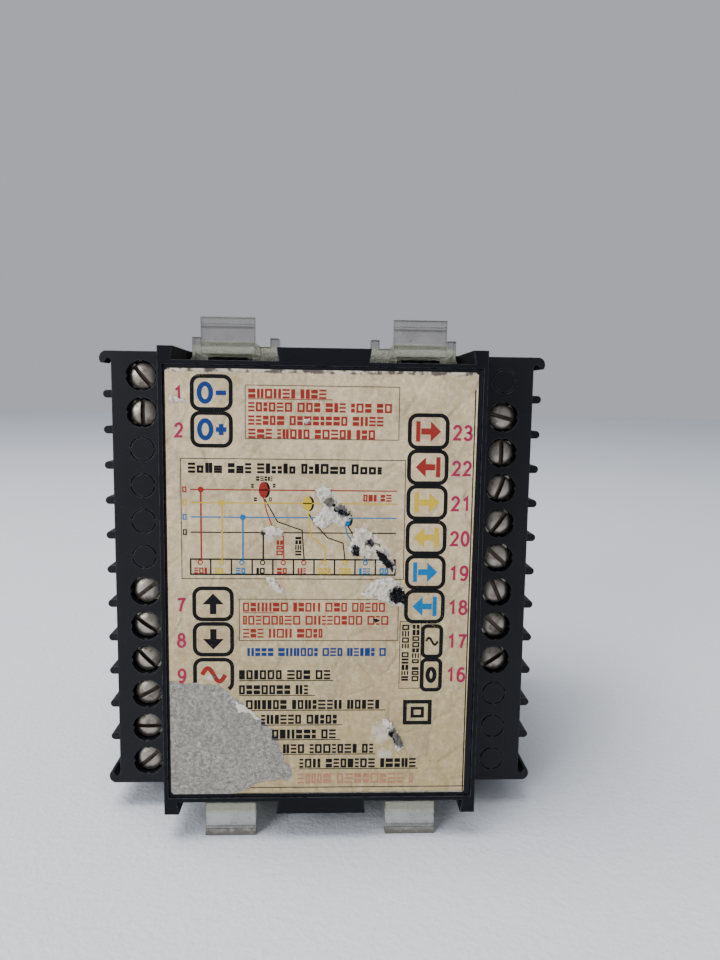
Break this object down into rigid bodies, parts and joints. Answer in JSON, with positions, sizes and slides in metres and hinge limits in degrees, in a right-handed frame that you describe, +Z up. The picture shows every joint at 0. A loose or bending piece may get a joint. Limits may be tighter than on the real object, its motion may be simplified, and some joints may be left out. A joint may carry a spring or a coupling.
{
  "type": "panel-mount energy meter",
  "caption": "Square panel-mount energy meter with side screw terminals, a rear label, sliding panel clips and a keyed display front.",
  "frame": {"origin": "centre of the panel seat, the rear face of the bezel", "axes": "+Z up, +Y out of the rear (label and terminals), display faces -Y, +X to the left as seen from the rear"},
  "size_m": [0.096, 0.0799, 0.101],
  "materials": {
    "black_plastic": "fine satin moulding, dusty",
    "label_paper": "aged cream paper, worn and speckled",
    "ink_black": "printed ink",
    "ink_red": "printed ink",
    "ink_blue": "printed ink",
    "ink_yellow": "printed ink",
    "ink_pink": "printed ink",
    "clear_clip": "clear tinted polycarbonate",
    "nickel_steel": "tarnished nickel plate",
    "tinned_brass": "dull tinned brass",
    "smoked_window": "smoked clear window",
    "key_grey": "satin keycap",
    "display_face": "black display face with pale segments",
    "led_red": "tinted lamp body",
    "circuit_board": "solder resist",
    "chip_black": "moulded component bodies",
    "ferrite": "ferrite core and taped winding",
    "can_sleeve": "shrink sleeve"
  },
  "bodies": {
    "root": {"front_bezel": "black_plastic", "display_window": "smoked_window", "tact_switches": "chip_black", "display_modules": "display_face", "indicator_leds": "led_red", "display_board": "circuit_board", "board_screws": "nickel_steel", "board_headers": "chip_black", "power_board": "circuit_board", "transformer": "ferrite", "capacitors": "can_sleeve", "board_chips": "chip_black", "main_housing": "black_plastic", "rear_cover": "black_plastic", "rating_label": "label_paper", "terminal_block_left": "black_plastic", "terminal_block_right": "black_plastic", "terminal_contacts_left": "tinned_brass", "terminal_contacts_right": "tinned_brass"},
    "panel_clip_top_left": {"panel_clip_top_left": "clear_clip"},
    "panel_clip_top_right": {"panel_clip_top_right": "clear_clip"},
    "panel_clip_bottom_left": {"panel_clip_bottom_left": "clear_clip"},
    "panel_clip_bottom_right": {"panel_clip_bottom_right": "clear_clip"},
    "key_1": {"key_1": "key_grey"},
    "key_2": {"key_2": "key_grey"},
    "key_3": {"key_3": "key_grey"},
    "key_4": {"key_4": "key_grey"},
    "terminal_screw_01": {"terminal_screw_01": "nickel_steel"},
    "terminal_screw_02": {"terminal_screw_02": "nickel_steel"},
    "terminal_screw_07": {"terminal_screw_07": "nickel_steel"},
    "terminal_screw_08": {"terminal_screw_08": "nickel_steel"},
    "terminal_screw_09": {"terminal_screw_09": "nickel_steel"},
    "terminal_screw_10": {"terminal_screw_10": "nickel_steel"},
    "terminal_screw_11": {"terminal_screw_11": "nickel_steel"},
    "terminal_screw_12": {"terminal_screw_12": "nickel_steel"},
    "terminal_screw_16": {"terminal_screw_16": "nickel_steel"},
    "terminal_screw_17": {"terminal_screw_17": "nickel_steel"},
    "terminal_screw_18": {"terminal_screw_18": "nickel_steel"},
    "terminal_screw_19": {"terminal_screw_19": "nickel_steel"},
    "terminal_screw_20": {"terminal_screw_20": "nickel_steel"},
    "terminal_screw_21": {"terminal_screw_21": "nickel_steel"},
    "terminal_screw_22": {"terminal_screw_22": "nickel_steel"},
    "terminal_screw_23": {"terminal_screw_23": "nickel_steel"},
    "clamp_plate_01": {"clamp_plate_01": "tinned_brass"},
    "clamp_plate_02": {"clamp_plate_02": "tinned_brass"},
    "clamp_plate_07": {"clamp_plate_07": "tinned_brass"},
    "clamp_plate_08": {"clamp_plate_08": "tinned_brass"},
    "clamp_plate_09": {"clamp_plate_09": "tinned_brass"},
    "clamp_plate_10": {"clamp_plate_10": "tinned_brass"},
    "clamp_plate_11": {"clamp_plate_11": "tinned_brass"},
    "clamp_plate_12": {"clamp_plate_12": "tinned_brass"},
    "clamp_plate_16": {"clamp_plate_16": "tinned_brass"},
    "clamp_plate_17": {"clamp_plate_17": "tinned_brass"},
    "clamp_plate_18": {"clamp_plate_18": "tinned_brass"},
    "clamp_plate_19": {"clamp_plate_19": "tinned_brass"},
    "clamp_plate_20": {"clamp_plate_20": "tinned_brass"},
    "clamp_plate_21": {"clamp_plate_21": "tinned_brass"},
    "clamp_plate_22": {"clamp_plate_22": "tinned_brass"},
    "clamp_plate_23": {"clamp_plate_23": "tinned_brass"}
  },
  "joints": [
    {"name": "clip_top_left_slide", "type": "slide", "parent": "root", "child": "panel_clip_top_left", "axis": [0, -1, 0], "range_m": [0, 0.047]},
    {"name": "clip_top_right_slide", "type": "slide", "parent": "root", "child": "panel_clip_top_right", "axis": [0, -1, 0], "range_m": [0, 0.047]},
    {"name": "clip_bottom_left_slide", "type": "slide", "parent": "root", "child": "panel_clip_bottom_left", "axis": [0, -1, 0], "range_m": [0, 0.047]},
    {"name": "clip_bottom_right_slide", "type": "slide", "parent": "root", "child": "panel_clip_bottom_right", "axis": [0, -1, 0], "range_m": [0, 0.047]},
    {"name": "key_1_press", "type": "slide", "parent": "root", "child": "key_1", "axis": [0, 1, 0], "range_m": [0, 0.0008], "stiffness_N_per_m": 1500, "springref_m": -0.0003},
    {"name": "key_2_press", "type": "slide", "parent": "root", "child": "key_2", "axis": [0, 1, 0], "range_m": [0, 0.0008], "stiffness_N_per_m": 1500, "springref_m": -0.0003},
    {"name": "key_3_press", "type": "slide", "parent": "root", "child": "key_3", "axis": [0, 1, 0], "range_m": [0, 0.0008], "stiffness_N_per_m": 1500, "springref_m": -0.0003},
    {"name": "key_4_press", "type": "slide", "parent": "root", "child": "key_4", "axis": [0, 1, 0], "range_m": [0, 0.0008], "stiffness_N_per_m": 1500, "springref_m": -0.0003},
    {"name": "clamp_01_slide", "type": "slide", "parent": "root", "child": "clamp_plate_01", "axis": [0, 1, 0], "range_m": [-0.002, 0]},
    {"name": "screw_01_turn", "type": "hinge", "parent": "clamp_plate_01", "child": "terminal_screw_01", "pos_m": [0.0361, 0.0559, 0.03982], "axis": [0, 1, 0], "range_deg": [-1441, 0]},
    {"name": "clamp_02_slide", "type": "slide", "parent": "root", "child": "clamp_plate_02", "axis": [0, 1, 0], "range_m": [-0.002, 0]},
    {"name": "screw_02_turn", "type": "hinge", "parent": "clamp_plate_02", "child": "terminal_screw_02", "pos_m": [0.0361, 0.0559, 0.03258], "axis": [0, 1, 0], "range_deg": [-1441, 0]},
    {"name": "clamp_07_slide", "type": "slide", "parent": "root", "child": "clamp_plate_07", "axis": [0, 1, 0], "range_m": [-0.002, 0]},
    {"name": "screw_07_turn", "type": "hinge", "parent": "clamp_plate_07", "child": "terminal_screw_07", "pos_m": [0.0361, 0.0559, -0.00362], "axis": [0, 1, 0], "range_deg": [-1441, 0]},
    {"name": "clamp_08_slide", "type": "slide", "parent": "root", "child": "clamp_plate_08", "axis": [0, 1, 0], "range_m": [-0.002, 0]},
    {"name": "screw_08_turn", "type": "hinge", "parent": "clamp_plate_08", "child": "terminal_screw_08", "pos_m": [0.0361, 0.0559, -0.01086], "axis": [0, 1, 0], "range_deg": [-1441, 0]},
    {"name": "clamp_09_slide", "type": "slide", "parent": "root", "child": "clamp_plate_09", "axis": [0, 1, 0], "range_m": [-0.002, 0]},
    {"name": "screw_09_turn", "type": "hinge", "parent": "clamp_plate_09", "child": "terminal_screw_09", "pos_m": [0.0361, 0.0559, -0.0181], "axis": [0, 1, 0], "range_deg": [-1441, 0]},
    {"name": "clamp_10_slide", "type": "slide", "parent": "root", "child": "clamp_plate_10", "axis": [0, 1, 0], "range_m": [-0.002, 0]},
    {"name": "screw_10_turn", "type": "hinge", "parent": "clamp_plate_10", "child": "terminal_screw_10", "pos_m": [0.0361, 0.0559, -0.02534], "axis": [0, 1, 0], "range_deg": [-1441, 0]},
    {"name": "clamp_11_slide", "type": "slide", "parent": "root", "child": "clamp_plate_11", "axis": [0, 1, 0], "range_m": [-0.002, 0]},
    {"name": "screw_11_turn", "type": "hinge", "parent": "clamp_plate_11", "child": "terminal_screw_11", "pos_m": [0.0361, 0.0559, -0.03258], "axis": [0, 1, 0], "range_deg": [-1441, 0]},
    {"name": "clamp_12_slide", "type": "slide", "parent": "root", "child": "clamp_plate_12", "axis": [0, 1, 0], "range_m": [-0.002, 0]},
    {"name": "screw_12_turn", "type": "hinge", "parent": "clamp_plate_12", "child": "terminal_screw_12", "pos_m": [0.0361, 0.0559, -0.03982], "axis": [0, 1, 0], "range_deg": [-1441, 0]},
    {"name": "clamp_16_slide", "type": "slide", "parent": "root", "child": "clamp_plate_16", "axis": [0, 1, 0], "range_m": [-0.002, 0]},
    {"name": "screw_16_turn", "type": "hinge", "parent": "clamp_plate_16", "child": "terminal_screw_16", "pos_m": [-0.0361, 0.0559, -0.0181], "axis": [0, 1, 0], "range_deg": [-1441, 0]},
    {"name": "clamp_17_slide", "type": "slide", "parent": "root", "child": "clamp_plate_17", "axis": [0, 1, 0], "range_m": [-0.002, 0]},
    {"name": "screw_17_turn", "type": "hinge", "parent": "clamp_plate_17", "child": "terminal_screw_17", "pos_m": [-0.0361, 0.0559, -0.01086], "axis": [0, 1, 0], "range_deg": [-1441, 0]},
    {"name": "clamp_18_slide", "type": "slide", "parent": "root", "child": "clamp_plate_18", "axis": [0, 1, 0], "range_m": [-0.002, 0]},
    {"name": "screw_18_turn", "type": "hinge", "parent": "clamp_plate_18", "child": "terminal_screw_18", "pos_m": [-0.0361, 0.0559, -0.00362], "axis": [0, 1, 0], "range_deg": [-1441, 0]},
    {"name": "clamp_19_slide", "type": "slide", "parent": "root", "child": "clamp_plate_19", "axis": [0, 1, 0], "range_m": [-0.002, 0]},
    {"name": "screw_19_turn", "type": "hinge", "parent": "clamp_plate_19", "child": "terminal_screw_19", "pos_m": [-0.0361, 0.0559, 0.00362], "axis": [0, 1, 0], "range_deg": [-1441, 0]},
    {"name": "clamp_20_slide", "type": "slide", "parent": "root", "child": "clamp_plate_20", "axis": [0, 1, 0], "range_m": [-0.002, 0]},
    {"name": "screw_20_turn", "type": "hinge", "parent": "clamp_plate_20", "child": "terminal_screw_20", "pos_m": [-0.0361, 0.0559, 0.01086], "axis": [0, 1, 0], "range_deg": [-1441, 0]},
    {"name": "clamp_21_slide", "type": "slide", "parent": "root", "child": "clamp_plate_21", "axis": [0, 1, 0], "range_m": [-0.002, 0]},
    {"name": "screw_21_turn", "type": "hinge", "parent": "clamp_plate_21", "child": "terminal_screw_21", "pos_m": [-0.0361, 0.0559, 0.0181], "axis": [0, 1, 0], "range_deg": [-1441, 0]},
    {"name": "clamp_22_slide", "type": "slide", "parent": "root", "child": "clamp_plate_22", "axis": [0, 1, 0], "range_m": [-0.002, 0]},
    {"name": "screw_22_turn", "type": "hinge", "parent": "clamp_plate_22", "child": "terminal_screw_22", "pos_m": [-0.0361, 0.0559, 0.02534], "axis": [0, 1, 0], "range_deg": [-1441, 0]},
    {"name": "clamp_23_slide", "type": "slide", "parent": "root", "child": "clamp_plate_23", "axis": [0, 1, 0], "range_m": [-0.002, 0]},
    {"name": "screw_23_turn", "type": "hinge", "parent": "clamp_plate_23", "child": "terminal_screw_23", "pos_m": [-0.0361, 0.0559, 0.03258], "axis": [0, 1, 0], "range_deg": [-1441, 0]}
  ],
  "couplings": [
    {"joint": "screw_01_turn", "follows": "clamp_01_slide", "rad_per_m": 12566},
    {"joint": "screw_02_turn", "follows": "clamp_02_slide", "rad_per_m": 12566},
    {"joint": "screw_07_turn", "follows": "clamp_07_slide", "rad_per_m": 12566},
    {"joint": "screw_08_turn", "follows": "clamp_08_slide", "rad_per_m": 12566},
    {"joint": "screw_09_turn", "follows": "clamp_09_slide", "rad_per_m": 12566},
    {"joint": "screw_10_turn", "follows": "clamp_10_slide", "rad_per_m": 12566},
    {"joint": "screw_11_turn", "follows": "clamp_11_slide", "rad_per_m": 12566},
    {"joint": "screw_12_turn", "follows": "clamp_12_slide", "rad_per_m": 12566},
    {"joint": "screw_16_turn", "follows": "clamp_16_slide", "rad_per_m": 12566},
    {"joint": "screw_17_turn", "follows": "clamp_17_slide", "rad_per_m": 12566},
    {"joint": "screw_18_turn", "follows": "clamp_18_slide", "rad_per_m": 12566},
    {"joint": "screw_19_turn", "follows": "clamp_19_slide", "rad_per_m": 12566},
    {"joint": "screw_20_turn", "follows": "clamp_20_slide", "rad_per_m": 12566},
    {"joint": "screw_21_turn", "follows": "clamp_21_slide", "rad_per_m": 12566},
    {"joint": "screw_22_turn", "follows": "clamp_22_slide", "rad_per_m": 12566},
    {"joint": "screw_23_turn", "follows": "clamp_23_slide", "rad_per_m": 12566}
  ]
}
